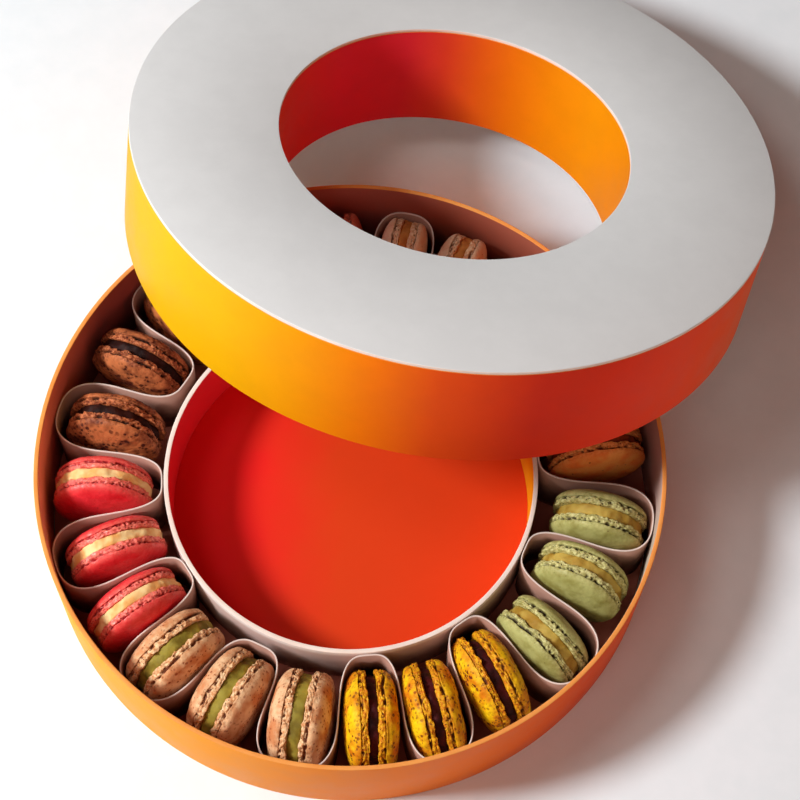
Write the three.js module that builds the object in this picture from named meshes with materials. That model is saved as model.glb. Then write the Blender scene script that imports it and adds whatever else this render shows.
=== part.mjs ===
// A ring-shaped gift box of paper board, full of macarons, with its lid leaning on the tray.
// Millimetres, +Z up. The origin is on the tray's axis, in the plane that the tray stands on.
// The tray is an outer wall, a bottom board and a short hub tube round an open well.
// The macarons stand on edge in the ring channel, and one card strip winds between them.

import * as THREE from 'three';
import { mergeVertices } from 'three/addons/utils/BufferGeometryUtils.js';

// Paper board
const BOARD = 2;
const CARD = 0.6;
const FIT_GAP = 0.3;

// Tray
const TRAY_RADIUS = 135;
const TRAY_HEIGHT = 52;
const FLOOR = 2;
const HUB_BORE_RADIUS = 79.3;
const HUB_TOP = 35.4;
const WELL_CARD = 0.8;

// Lid
const LID_RADIUS = 141;
const LID_HOLE_RADIUS = 77;
const LID_HEIGHT = 52;
const LID_TOP_BOARD = 1.6;
const LID_TILT = THREE.MathUtils.degToRad(20);
const LID_BEARING = THREE.MathUtils.degToRad(74.3);

// Card strip between the macarons
const STRIP_TOP = 35;
const STRIP_END_GAP = 0.5;
const STRIP_STEPS = 12;
const INNER_LOOP_SQUARENESS = 3.3;
const OUTER_LOOP_SQUARENESS = 2.7;

// Macarons
const MACARON_COUNT = 24;
const MACARON_RADIUS = 21.6;
const SHELL_DOME = 6.1;
const FOOT_HEIGHT = 3.3;
const FILLING_THICKNESS = 4.6;
const FILLING_RECESS = 1.5;
const FOOT_OVERHANG = 0.4;
const SHELL_OUT_OF_ROUND = 0.25;
const FOOT_RUFFLES = 5;
const FOOT_RUFFLE_DEPTH = 0.45;
const FILLING_BULGES = 3;
const FILLING_BULGE_DEPTH = 0.4;
const MACARON_SIDES = 14;
const FIRST_BEARING = 141.2;

// The dome of a shell, as shares of the macaron's radius and of the dome's height
const DOME_PROFILE = [
  [0.9, 0.58],
  [0.58, 0.93],
  [0, 1],
];

// Facets round a turned piece
const WALL_SIDES = 72;
const TUBE_SIDES = 60;

const TRAY_INSIDE_RADIUS = TRAY_RADIUS - BOARD;
const HUB_RADIUS = HUB_BORE_RADIUS + BOARD;
const CHANNEL_MIDDLE = (TRAY_INSIDE_RADIUS + HUB_RADIUS) / 2;
const PITCH = 360 / MACARON_COUNT;

// Flavours, in the order they lie in, three macarons of each
const FLAVOURS = [
  { name: 'cocoa', color: 0x8a4a30, girth: 0.99, filling: 1.0, dome: 1.0 },
  { name: 'rose', color: 0xd23a40, girth: 0.99, filling: 1.0, dome: 1.0 },
  { name: 'praline', color: 0xd9a878, girth: 1.0, filling: 1.2, dome: 1.22 },
  { name: 'saffron', color: 0xe2a516, girth: 1.0, filling: 0.95, dome: 1.06 },
  { name: 'pistachio', color: 0xb4b46a, girth: 0.96, filling: 1.1, dome: 1.05 },
  { name: 'apricot', color: 0xc46a2c, girth: 0.99, filling: 0.9, dome: 1.0 },
  { name: 'almond', color: 0xcf9a72, girth: 1.06, filling: 0.95, dome: 1.0 },
  { name: 'berry', color: 0xa03040, girth: 1.03, filling: 0.9, dome: 0.96 },
];

// How each macaron stands: degrees turned about the upright, degrees leaning along the ring,
// millimetres out from the middle of the channel, and degrees along the ring from its even place
const STANCES = [
  { turn: 3, lean: 0, out: 2, along: -4.7 },
  { turn: 7, lean: -4, out: 3.2, along: -3.8 },
  { turn: 2, lean: 4, out: 0.2, along: -1.5 },
  { turn: -4, lean: 4, out: 1.2, along: -0.6 },
  { turn: 4, lean: -4, out: -0.8, along: -0.3 },
  { turn: 2, lean: -3, out: 1.1, along: -0.3 },
  { turn: -4, lean: -3, out: 1.4, along: -0.9 },
  { turn: -5, lean: 0, out: 3, along: -0.2 },
  { turn: 1, lean: 3, out: 2.2, along: 1.2 },
  { turn: -2, lean: -2, out: 0.7, along: 1.5 },
  { turn: -5, lean: 3, out: 2, along: 0.5 },
  { turn: -6, lean: 4, out: 0.4, along: 0.3 },
  { turn: -4, lean: 5, out: 1.6, along: 0.6 },
  { turn: -1, lean: -3, out: 1.2, along: 2.2 },
  { turn: -4, lean: 5, out: 2.3, along: 2.1 },
  { turn: 1, lean: 4, out: 2, along: 4.6 },
  { turn: 1, lean: 0, out: 0.5, along: 3.3 },
  { turn: -1, lean: 1, out: 0.7, along: 2 },
  { turn: -1, lean: 1, out: 1, along: 1.1 },
  { turn: 5, lean: 0, out: 1.7, along: 1.3 },
  { turn: 0, lean: 1, out: 1.1, along: 0.2 },
  { turn: 1, lean: -4, out: 2.7, along: -1 },
  { turn: 0, lean: 0, out: 1.3, along: -2.2 },
  { turn: 1, lean: 0, out: 1.7, along: -3.7 },
];

// Degrees by which the strip lies nearer to the next macaron, by the number of the one before
const CROSSING_SHIFTS = {
  1: 0.6, 2: 0.2, 4: 0.1, 5: 0.5, 6: 0.1, 8: 0.1, 10: 0.15, 11: -0.2,
  12: 0.1, 15: -1.2, 16: 0.15, 17: -0.1, 20: -0.1, 21: -0.1, 23: -0.1,
};

// Millimetres by which a loop of the strip stays short of the hub tube, by its macaron's number
const LOOP_SHORTFALLS = { 2: 3.5, 8: 4 };

// Repeatable random numbers from 0 to 1
function seededRandom(seed) {
  let state = seed;
  return () => {
    state = (state * 16807) % 2147483647;
    return state / 2147483647;
  };
}

function solid(name, geometry, color, roughness) {
  const material = new THREE.MeshStandardMaterial({ color, roughness, metalness: 0 });
  const mesh = new THREE.Mesh(geometry, material);
  mesh.name = name;
  return mesh;
}

// Turns a profile of [radius, height] points about +Z, with one welded vertex at each place
function turned(profile, sides) {
  const points = profile.map(([radius, height]) => new THREE.Vector2(radius, height));
  const geometry = new THREE.LatheGeometry(points, sides);
  geometry.rotateX(Math.PI / 2);
  geometry.deleteAttribute('normal');
  geometry.deleteAttribute('uv');
  return mergeVertices(geometry);
}

// A ring of rectangular section between two radii and two heights
function ring(innerRadius, outerRadius, low, high, sides) {
  return turned([
    [innerRadius, low],
    [outerRadius, low],
    [outerRadius, high],
    [innerRadius, high],
    [innerRadius, low],
  ], sides);
}

function disc(radius, low, high, sides) {
  return turned([[0, low], [radius, low], [radius, high], [0, high]], sides);
}

// The tray: bottom board inside the wall, hub tube standing on the board, coloured card in the well
function makeTray() {
  const tray = new THREE.Group();
  const bottom = disc(TRAY_INSIDE_RADIUS - FIT_GAP, 0, FLOOR, WALL_SIDES);
  const wall = ring(TRAY_INSIDE_RADIUS, TRAY_RADIUS, 0, TRAY_HEIGHT, WALL_SIDES);
  const hub = ring(HUB_BORE_RADIUS, HUB_RADIUS, FLOOR, HUB_TOP, TUBE_SIDES);
  const wellCard = disc(HUB_BORE_RADIUS - FIT_GAP, FLOOR, FLOOR + WELL_CARD, TUBE_SIDES);
  tray.add(solid('tray_bottom', bottom, 0xe9e2da, 0.8));
  tray.add(solid('tray_wall', wall, 0xf0962a, 0.5));
  tray.add(solid('hub_tube', hub, 0xf4ece4, 0.7));
  tray.add(solid('well_card', wellCard, 0xe0371a, 0.6));
  return tray;
}

function flavourOf(place) {
  return FLAVOURS[Math.floor(place / (MACARON_COUNT / FLAVOURS.length))];
}

// Where a macaron stands along the ring, in degrees
function macaronBearing(place) {
  return FIRST_BEARING + PITCH * place + STANCES[place % MACARON_COUNT].along;
}

function halfThickness(flavour) {
  return (FILLING_THICKNESS * flavour.filling) / 2 + FOOT_HEIGHT + SHELL_DOME * flavour.dome;
}

// The line on which the strip crosses the channel between a macaron and the next one. It halves
// the room between the two shells that face each other, unless a shift brings it nearer to one of
// them, and its turn is the mean of theirs.
function crossingAfter(place) {
  const herePlace = (place + MACARON_COUNT) % MACARON_COUNT;
  const nextPlace = (place + 1) % MACARON_COUNT;
  const here = STANCES[herePlace];
  const next = STANCES[nextPlace];
  const thicker = halfThickness(flavourOf(herePlace)) - halfThickness(flavourOf(nextPlace));
  const shift = CROSSING_SHIFTS[herePlace + 1] ?? 0;
  const evenBearing = FIRST_BEARING + PITCH * (place + 0.5) + (here.along + next.along) / 2;
  const bearing = THREE.MathUtils.degToRad(evenBearing + shift) + thicker / 2 / CHANNEL_MIDDLE;
  const turn = THREE.MathUtils.degToRad((here.turn + next.turn) / 2);
  return { bearing, turn };
}

// The bearing of a point on a crossing line, a distance out from the middle of the channel
function bearingOnCrossing(crossing, out) {
  const aside = out * Math.sin(crossing.turn);
  const ahead = CHANNEL_MIDDLE + out * Math.cos(crossing.turn);
  return crossing.bearing + Math.atan2(aside, ahead);
}

// The strip's middle line: round the hub side of every second macaron, and the wall side of the
// others. Each loop is half a superellipse, so the strip runs nearly straight between neighbours.
function stripPath() {
  const fullReach = CHANNEL_MIDDLE - HUB_RADIUS - STRIP_END_GAP - CARD / 2;
  const path = [];
  for (let place = 0; place < MACARON_COUNT; place += 1) {
    const side = place % 2 === 0 ? 1 : -1;
    const reach = fullReach - (LOOP_SHORTFALLS[place + 1] ?? 0);
    const power = 2 / (side > 0 ? OUTER_LOOP_SQUARENESS : INNER_LOOP_SQUARENESS);
    const start = crossingAfter(place - 1);
    const end = crossingAfter(place);
    for (let step = 0; step < STRIP_STEPS; step += 1) {
      const angle = Math.PI * (step / STRIP_STEPS - 0.5);
      const across = Math.sign(angle) * Math.abs(Math.sin(angle)) ** power;
      const out = side * reach * Math.max(Math.cos(angle), 0) ** power;
      const startBearing = bearingOnCrossing(start, out);
      const endBearing = bearingOnCrossing(end, out);
      const bearing = THREE.MathUtils.lerp(startBearing, endBearing, (1 + across) / 2);
      const radius = CHANNEL_MIDDLE + out;
      path.push(new THREE.Vector2(radius * Math.cos(bearing), radius * Math.sin(bearing)));
    }
  }
  return path;
}

// Moves a closed path sideways by a distance, along the mean normal at each point
function offsetPath(path, distance) {
  return path.map((point, index) => {
    const before = path[(index + path.length - 1) % path.length];
    const after = path[(index + 1) % path.length];
    const into = point.clone().sub(before).normalize();
    const outOf = after.clone().sub(point).normalize();
    const normalIn = new THREE.Vector2(into.y, -into.x);
    const normalOut = new THREE.Vector2(outOf.y, -outOf.x);
    const normal = normalIn.clone().add(normalOut).normalize();
    return point.clone().addScaledVector(normal, distance / normal.dot(normalIn));
  });
}

function makeStrip() {
  const path = stripPath();
  const outline = new THREE.Shape(offsetPath(path, CARD / 2));
  outline.holes.push(new THREE.Path(offsetPath(path, -CARD / 2)));
  const height = STRIP_TOP - FLOOR;
  const geometry = new THREE.ExtrudeGeometry(outline, { depth: height, bevelEnabled: false });
  geometry.translate(0, 0, FLOOR);
  return solid('card_strip', geometry, 0xefe6de, 0.7);
}

// One macaron lying flat about its middle: dome, ruffled foot, recessed filling, foot, dome
function macaronProfile(size, dome, halfFilling) {
  const footTop = halfFilling + FOOT_HEIGHT;
  const domeProfile = DOME_PROFILE.map(([radiusShare, heightShare]) => (
    [size * radiusShare, footTop + dome * heightShare]
  ));
  const upperHalf = [
    [size - FILLING_RECESS, halfFilling],
    [size + FOOT_OVERHANG / 2, halfFilling],
    [size + FOOT_OVERHANG, footTop - FOOT_HEIGHT / 3],
    [size - FOOT_OVERHANG, footTop],
    ...domeProfile,
  ];
  const lowerHalf = upperHalf.map(([radius, height]) => [radius, -height]).reverse();
  return [...lowerHalf, ...upperHalf];
}

// Both shells are a little out of round, each in its own way. The feet are ruffled, and the
// filling bulges between them.
function macaronGeometry(flavour, random) {
  const size = MACARON_RADIUS * flavour.girth * (0.99 + 0.02 * random());
  const dome = SHELL_DOME * flavour.dome * (0.97 + 0.04 * random());
  const halfFilling = (FILLING_THICKNESS * flavour.filling) / 2;
  const footTop = halfFilling + FOOT_HEIGHT;
  const geometry = turned(macaronProfile(size, dome, halfFilling), MACARON_SIDES);
  const phases = [random(), random(), random(), random()].map((share) => share * 2 * Math.PI);
  const positions = geometry.getAttribute('position');
  const vertex = new THREE.Vector3();
  for (let index = 0; index < positions.count; index += 1) {
    vertex.fromBufferAttribute(positions, index);
    const radius = Math.hypot(vertex.x, vertex.y);
    if (radius < size / 2) {
      continue;
    }
    const around = Math.atan2(vertex.y, vertex.x);
    const height = Math.abs(vertex.z);
    const shell = vertex.z > 0 ? 0 : 1;
    let moved = radius + SHELL_OUT_OF_ROUND * Math.sin(2 * around + phases[shell]);
    if (height < footTop && radius > size) {
      const wave = FOOT_RUFFLES * around + phases[2 + shell] + height;
      moved += FOOT_RUFFLE_DEPTH * Math.sin(wave);
    }
    if (height <= halfFilling && radius < size) {
      moved += FILLING_BULGE_DEPTH * Math.sin(FILLING_BULGES * around + phases[2]);
    }
    positions.setXY(index, (vertex.x * moved) / radius, (vertex.y * moved) / radius);
  }
  return geometry;
}

// Stands a macaron on edge on the tray's floor, its axis along the ring
function makeMacaron(place) {
  const flavour = flavourOf(place);
  const stance = STANCES[place];
  const random = seededRandom(1000 + 77 * place);
  const geometry = macaronGeometry(flavour, random);
  const label = String(place + 1).padStart(2, '0');
  const mesh = solid(`macaron_${label}_${flavour.name}`, geometry, flavour.color, 0.75);

  // local +Z becomes the direction along the ring, then the lean and the turn are added
  mesh.rotation.set(THREE.MathUtils.degToRad(-90 + stance.lean), 0, 0);
  const upright = new THREE.Group();
  upright.add(mesh);
  upright.rotation.z = THREE.MathUtils.degToRad(stance.turn);
  upright.position.x = CHANNEL_MIDDLE + stance.out;
  const bearing = new THREE.Group();
  bearing.add(upright);
  bearing.rotation.z = THREE.MathUtils.degToRad(macaronBearing(place));
  bearing.updateMatrixWorld(true);
  const lowest = new THREE.Box3().setFromObject(bearing, true).min.z;
  bearing.position.z = FLOOR + FIT_GAP - lowest;
  return bearing;
}

// The lid, drawn with its rim down and its lower edges at height 0
function makeLid() {
  const lid = new THREE.Group();
  const wallTop = LID_HEIGHT - LID_TOP_BOARD;
  const top = ring(LID_HOLE_RADIUS, LID_RADIUS, wallTop, LID_HEIGHT, WALL_SIDES);
  const wall = ring(LID_RADIUS - BOARD, LID_RADIUS, 0, wallTop - FIT_GAP, WALL_SIDES);
  const tube = ring(LID_HOLE_RADIUS, LID_HOLE_RADIUS + BOARD, 0, wallTop - FIT_GAP, TUBE_SIDES);
  lid.add(solid('lid_top', top, 0xdbd7d3, 0.6));
  lid.add(solid('lid_wall', wall, 0xf0962a, 0.5));
  lid.add(solid('lid_tube', tube, 0xe8701e, 0.5));
  return lid;
}

// Leans the lid back: the lower edge of its wall meets the table behind the tray, and the lower
// edge of its tube lies across the tray's rim at two places, one on each side of the bearing
function leanLid(lid) {
  const centreHeight = FIT_GAP + LID_RADIUS * Math.sin(LID_TILT);
  const rimHeight = TRAY_HEIGHT + FIT_GAP;
  const along = (centreHeight - rimHeight) / Math.tan(LID_TILT);
  const downTube = along / Math.cos(LID_TILT);
  const aside = Math.sqrt(LID_HOLE_RADIUS ** 2 - downTube ** 2);
  const rimDistance = Math.sqrt(TRAY_RADIUS ** 2 - aside ** 2);
  const centreDistance = rimDistance - along;
  const leaning = new THREE.Group();
  lid.rotation.y = LID_TILT;
  lid.position.set(centreDistance, 0, centreHeight);
  leaning.add(lid);
  leaning.rotation.z = LID_BEARING;
  return leaning;
}

const box = new THREE.Group();
box.add(makeTray());
box.add(makeStrip());
for (let place = 0; place < MACARON_COUNT; place += 1) {
  box.add(makeMacaron(place));
}
box.add(leanLid(makeLid()));

export default box;
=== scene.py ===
# %% [markdown]
# # A ring box of macarons
# The object is a round gift box of paper board with an open well in its middle. Twenty-four macarons
# stand on edge in the ring, a card strip winds between them, and the ring lid leans on the tray. The
# imported model brings the exact places and sizes. Blender adds smooth walls, fine shells and the
# finishes. The lesson starts by loading the imported model.

# %% The imported model
import math

import bmesh
import bpy
from mathutils import Matrix, Vector, noise


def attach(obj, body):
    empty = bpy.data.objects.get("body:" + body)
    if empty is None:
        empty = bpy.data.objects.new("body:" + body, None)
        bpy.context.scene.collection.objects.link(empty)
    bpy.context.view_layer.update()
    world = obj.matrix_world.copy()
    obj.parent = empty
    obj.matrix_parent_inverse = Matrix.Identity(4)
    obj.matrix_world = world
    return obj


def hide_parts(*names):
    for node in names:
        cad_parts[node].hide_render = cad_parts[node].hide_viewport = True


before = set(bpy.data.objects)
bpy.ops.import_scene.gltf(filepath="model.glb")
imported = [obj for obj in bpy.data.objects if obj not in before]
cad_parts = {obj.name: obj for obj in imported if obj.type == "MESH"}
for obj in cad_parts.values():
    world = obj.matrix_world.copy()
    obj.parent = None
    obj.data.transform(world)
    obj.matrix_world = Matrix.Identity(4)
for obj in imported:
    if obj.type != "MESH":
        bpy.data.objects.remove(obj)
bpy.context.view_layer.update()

# %% [markdown]
# ## Sizes
# A reusable scene repeats the few sizes that its pieces share with the solids, in one place and
# in metres. All the rest is worked out from them, so a wall and the macarons next to it agree.

# %% Sizes of the box and its lid
MM = 0.001
BOARD = 2 * MM
CARD = 0.6 * MM
TRAY_RADIUS = 135 * MM
TRAY_HEIGHT = 52 * MM
FLOOR = 2 * MM
HUB_BORE_RADIUS = 79.3 * MM
HUB_TOP = 35.4 * MM
WELL_CARD = 0.8 * MM
WELL_CARD_GAP = 0.05 * MM
LID_RADIUS = 141 * MM
LID_HOLE_RADIUS = 77 * MM
LID_HEIGHT = 52 * MM
LID_TOP_BOARD = 1.6 * MM
LID_TILT = math.radians(20)
LID_BEARING = math.radians(74.3)
FIT_GAP = 0.3 * MM
HUB_RADIUS = HUB_BORE_RADIUS + BOARD
TRAY_INSIDE = TRAY_RADIUS - BOARD
CHANNEL_MIDDLE = (TRAY_INSIDE + HUB_RADIUS) / 2
print("channel:", round((TRAY_INSIDE - HUB_RADIUS) / MM, 1), "mm wide")

# %% [markdown]
# ## Camera
# The camera comes early, because every later choice is judged through it. It stands in front of
# the box and looks steeply down, turned a few degrees about its own axis. A matrix with the
# camera's right, up and back directions as its columns says this without any tracking constraint.

# %% Camera
CAMERA_ELEVATION = math.radians(65.68)
CAMERA_ROLL = math.radians(3.02)
CAMERA_PLACE = Vector((19.46, -335.18, 857.10)) * MM
SENSOR_WIDTH = 36
LENS = 91.87

scene = bpy.context.scene
camera = bpy.data.objects.new("camera", bpy.data.cameras.new("camera"))
scene.collection.objects.link(camera)
camera.data.sensor_width = SENSOR_WIDTH
camera.data.lens = LENS
back = Vector((0, -math.cos(CAMERA_ELEVATION), math.sin(CAMERA_ELEVATION)))
level_right = Vector((1, 0, 0))
level_up = back.cross(level_right)
right = level_right * math.cos(CAMERA_ROLL) + level_up * math.sin(CAMERA_ROLL)
up = level_up * math.cos(CAMERA_ROLL) - level_right * math.sin(CAMERA_ROLL)
turned = Matrix((right, up, back)).transposed().to_4x4()
camera.matrix_world = Matrix.Translation(CAMERA_PLACE) @ turned
scene.camera = camera
print("camera lens:", camera.data.lens, "mm")

# %% [markdown]
# ## Light
# One soft window of light stands on the left, as high as the shadow of the hub in the well says.
# A lamp is an Area light, whose disk sets how soft its shadows are. Three weak lamps stand for
# the rest of a room: a second window above the first, a pale front, and a warm glow from the
# front right that reddens the shade. The sky fills what is left with a faint warm light. The sky
# that the camera itself sees is plain and pale, which a Light Path node picks out.

# %% The lamps
# name, degrees round from +X, degrees up, distance, width, watts, colour
LAMPS = (
    ("window", 188, 44, 1.7, 0.38, 30.5, (0.94, 0.98, 1.0)),
    ("high_window", 175, 66, 1.7, 0.5, 3.6, (1.0, 0.95, 0.9)),
    ("front", 250, 52, 1.6, 0.9, 2.8, (1.0, 0.86, 0.76)),
    ("warm_bounce", -42, 22, 1.7, 1.0, 4.0, (1.0, 0.48, 0.34)),
)

for name, around, rise, distance, width, watts, colour in LAMPS:
    light = bpy.data.lights.new(name, "AREA")
    light.shape = "DISK"
    light.size = width
    light.energy = watts
    light.color = colour
    lamp = bpy.data.objects.new(name, light)
    scene.collection.objects.link(lamp)
    level = math.cos(math.radians(rise))
    aim = Vector((
        level * math.cos(math.radians(around)),
        level * math.sin(math.radians(around)),
        math.sin(math.radians(rise)),
    ))
    lamp.location = aim * distance
    lamp.rotation_euler = aim.to_track_quat("Z", "Y").to_euler()
    print(name, "at", [round(value, 2) for value in lamp.location])

# %% The sky
FILL = (1.0, 0.80, 0.68, 1)
FILL_STRENGTH = 0.07
SKY_SEEN = (1, 0.99, 0.98, 1)
SKY_SEEN_STRENGTH = 0.9

sky = bpy.data.worlds.new("sky")
scene.world = sky
sky.use_nodes = True
sky_nodes = sky.node_tree.nodes
sky_links = sky.node_tree.links
sky_nodes.clear()
light_path = sky_nodes.new("ShaderNodeLightPath")
either = sky_nodes.new("ShaderNodeMixShader")
sky_out = sky_nodes.new("ShaderNodeOutputWorld")
sky_links.new(light_path.outputs["Is Camera Ray"], either.inputs[0])
for slot, colour, strength in ((1, FILL, FILL_STRENGTH), (2, SKY_SEEN, SKY_SEEN_STRENGTH)):
    background = sky_nodes.new("ShaderNodeBackground")
    background.inputs["Color"].default_value = colour
    background.inputs["Strength"].default_value = strength
    sky_links.new(background.outputs[0], either.inputs[slot])
sky_links.new(either.outputs[0], sky_out.inputs["Surface"])
scene.view_settings.view_transform = "Standard"
print("sky strength", FILL_STRENGTH, "and as the camera sees it", SKY_SEEN_STRENGTH)

# %% [markdown]
# ## Node groups for the finishes
# Paper, baked crumb and specks each show on several materials. Such an effect is a node group: it
# is built once, takes its scale as an input, and gives back only masks and heights. Each material
# then mixes its own colours from them.

# %% Helpers for node groups and materials


def new_group(name, inputs, outputs):
    """A node group with a vector and numbers as inputs and numbers as outputs, and its end nodes."""
    group = bpy.data.node_groups.new(name, "ShaderNodeTree")
    group.interface.new_socket("Vector", in_out="INPUT", socket_type="NodeSocketVector")
    for label, value in inputs.items():
        socket = group.interface.new_socket(label, in_out="INPUT", socket_type="NodeSocketFloat")
        socket.default_value = value
    for label in outputs:
        group.interface.new_socket(label, in_out="OUTPUT", socket_type="NodeSocketFloat")
    return group, group.nodes.new("NodeGroupInput"), group.nodes.new("NodeGroupOutput")


def feed(tree, socket, value):
    """Gives an input a number or a colour, or joins another node's output to it."""
    if isinstance(value, bpy.types.NodeSocket):
        tree.links.new(value, socket)
    else:
        socket.default_value = value


def noise_node(tree, vector, scale, detail=3.0, roughness=0.55):
    """A noise texture on a vector; scale is a number or a socket."""
    node = tree.nodes.new("ShaderNodeTexNoise")
    node.inputs["Detail"].default_value = detail
    node.inputs["Roughness"].default_value = roughness
    feed(tree, node.inputs["Vector"], vector)
    feed(tree, node.inputs["Scale"], scale)
    return node.outputs["Fac"]


def math_node(tree, operation, first, second, clamp=False):
    """A Math node on sockets or numbers."""
    node = tree.nodes.new("ShaderNodeMath")
    node.operation = operation
    node.use_clamp = clamp
    feed(tree, node.inputs[0], first)
    feed(tree, node.inputs[1], second)
    return node.outputs[0]


def ramp_between(tree, value, low, high):
    """A value stretched from low..high to 0..1, smoothly and clamped."""
    node = tree.nodes.new("ShaderNodeMapRange")
    node.interpolation_type = "SMOOTHSTEP"
    feed(tree, node.inputs["Value"], value)
    feed(tree, node.inputs["From Min"], low)
    feed(tree, node.inputs["From Max"], high)
    return node.outputs["Result"]


print("helpers ready")

# %% The crumb of a baked shell
PATCH_SCALE = 130.0
CRUMB_MASKS = ("Tone", "Grain", "Height")

crumb, crumb_in, crumb_out = new_group("baked_crumb", {"Scale": 400.0}, CRUMB_MASKS)
broad = noise_node(crumb, crumb_in.outputs["Vector"], PATCH_SCALE, 2.0)
grain = noise_node(crumb, crumb_in.outputs["Vector"], crumb_in.outputs["Scale"], 4.0, 0.65)
crumb.links.new(ramp_between(crumb, broad, 0.35, 0.68), crumb_out.inputs["Tone"])
crumb.links.new(ramp_between(crumb, grain, 0.35, 0.65), crumb_out.inputs["Grain"])
crumb.links.new(math_node(crumb, "ADD", grain, broad), crumb_out.inputs["Height"])
print(crumb.name, "nodes:", len(crumb.nodes))

# %% Specks of ground almond, cocoa or spice
SPECK_WANDER = 0.5 * MM
SPECK_WANDER_SCALE = 900.0
SPECK_SOFT_EDGE = 0.6
SPECK_INPUTS = {"Scale": 500.0, "Size": 0.3, "Share": 0.5}

specks, specks_in, specks_out = new_group("specks", SPECK_INPUTS, ("Mask",))
cells = specks.nodes.new("ShaderNodeTexVoronoi")
cells.inputs["Randomness"].default_value = 1.0
specks.links.new(specks_in.outputs["Scale"], cells.inputs["Scale"])
wander = noise_node(specks, specks_in.outputs["Vector"], SPECK_WANDER_SCALE, 2.0)
shifted = specks.nodes.new("ShaderNodeVectorMath")
shifted.operation = "MULTIPLY_ADD"
specks.links.new(wander, shifted.inputs[0])
shifted.inputs[1].default_value = (SPECK_WANDER,) * 3
specks.links.new(specks_in.outputs["Vector"], shifted.inputs[2])
specks.links.new(shifted.outputs[0], cells.inputs["Vector"])
apart = specks.nodes.new("ShaderNodeSeparateColor")
specks.links.new(cells.outputs["Color"], apart.inputs[0])
chosen = math_node(specks, "LESS_THAN", apart.outputs[0], specks_in.outputs["Share"])
own_size = math_node(specks, "MULTIPLY", specks_in.outputs["Size"], apart.outputs[1])
inner_edge = math_node(specks, "MULTIPLY", own_size, SPECK_SOFT_EDGE)
near = ramp_between(specks, cells.outputs["Distance"], own_size, inner_edge)
specks.links.new(math_node(specks, "MULTIPLY", near, chosen), specks_out.inputs["Mask"])
print(specks.name, "nodes:", len(specks.nodes))

# %% The fibre of paper and board
CLOUD_SCALE = 60.0
TOOTH_SCALE = 2600.0

fibre, fibre_in, fibre_out = new_group("board_fibre", {}, ("Tone", "Height"))
cloud = noise_node(fibre, fibre_in.outputs["Vector"], CLOUD_SCALE, 5.0, 0.6)
tooth = noise_node(fibre, fibre_in.outputs["Vector"], TOOTH_SCALE, 3.0, 0.6)
fibre.links.new(tooth, fibre_out.inputs["Height"])
fibre.links.new(ramp_between(fibre, cloud, 0.3, 0.7), fibre_out.inputs["Tone"])
print("groups:", [group.name for group in bpy.data.node_groups])

# %% [markdown]
# ## Finishes of the board
# The walls are wrapped in printed paper whose colour runs round the box, from yellow through orange
# to brick red. That run is partly print and partly painted light and shade: yellow where the window
# lights a wall, red where the wall is in shade. A picture could hold it, but a colour ramp over the
# first coordinate of the wall's UV map needs no file and follows the wall. The tray's lining takes
# its tones the same way, and they are painted light and shade on pale card. The card in the well
# fades across the box, so its colours are mixed along X of the Object coordinates. The white card of
# the strip and hub has painted shade: white at its cut edge and darker further down, along Z. Each
# finish also has the clouding and tooth of paper.

# %% Finish helpers


def srgb(red, green, blue):
    """A colour as seen on a screen, 0 to 255, as the linear colour that shaders work with."""
    shares = [value / 255 for value in (red, green, blue)]
    linear = [s / 12.92 if s <= 0.04045 else ((s + 0.055) / 1.055) ** 2.4 for s in shares]
    return (*linear, 1.0)


def new_finish(name, roughness=0.6, specular=0.35):
    """A material with a Principled shader, and the vector of its Object coordinates."""
    material = bpy.data.materials.new(name)
    material.use_nodes = True
    tree = material.node_tree
    shader = tree.nodes["Principled BSDF"]
    shader.inputs["Roughness"].default_value = roughness
    shader.inputs["Specular IOR Level"].default_value = specular
    place = tree.nodes.new("ShaderNodeTexCoord").outputs["Object"]
    return material, tree, shader, place


def mix_colours(tree, share, first, second):
    """Two colours mixed by a share; each is a colour or a socket."""
    node = tree.nodes.new("ShaderNodeMix")
    node.data_type = "RGBA"
    feed(tree, node.inputs[0], share)
    # a Mix node keeps its colour inputs and output behind those for numbers and vectors
    feed(tree, node.inputs[6], first)
    feed(tree, node.inputs[7], second)
    return node.outputs[2]


def placed_group(tree, group, place, **values):
    """A node group placed in a material and fed with Object coordinates."""
    node = tree.nodes.new("ShaderNodeGroup")
    node.node_tree = group
    feed(tree, node.inputs["Vector"], place)
    for label, value in values.items():
        feed(tree, node.inputs[label], value)
    return node


def bump_from(tree, shader, height, distance, strength=0.6):
    """A bump of a distance in metres, joined to the shader's normal."""
    node = tree.nodes.new("ShaderNodeBump")
    feed(tree, node.inputs["Distance"], distance)
    feed(tree, node.inputs["Strength"], strength)
    feed(tree, node.inputs["Height"], height)
    feed(tree, shader.inputs["Normal"], node.outputs[0])


def roughness_from(tree, shader, value, low, high):
    """Roughness that moves between two values with a mask."""
    node = tree.nodes.new("ShaderNodeMapRange")
    feed(tree, node.inputs["Value"], value)
    feed(tree, node.inputs["To Min"], low)
    feed(tree, node.inputs["To Max"], high)
    feed(tree, shader.inputs["Roughness"], node.outputs["Result"])


print("finish helpers ready")

# %% Recipes for board and paper
PRINT_SHEEN = 0.07
FADE_SHEEN = 0.15
INK_DARKEST = 0.97
INK_SPREAD = 0.05
CLOUD_IN_FADE = 0.12


def paper_finish(name, roughness, rougher, tooth_depth, sheen=0.35):
    """A finish with the tooth of paper, its Object coordinates, and the paper's clouding."""
    material, tree, shader, place = new_finish(name, roughness, sheen)
    paper = placed_group(tree, fibre, place)
    clouding = paper.outputs["Tone"]
    roughness_from(tree, shader, clouding, roughness - rougher[0], roughness + rougher[1])
    bump_from(tree, shader, paper.outputs["Height"], tooth_depth)
    return material, tree, shader, place, clouding


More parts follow.
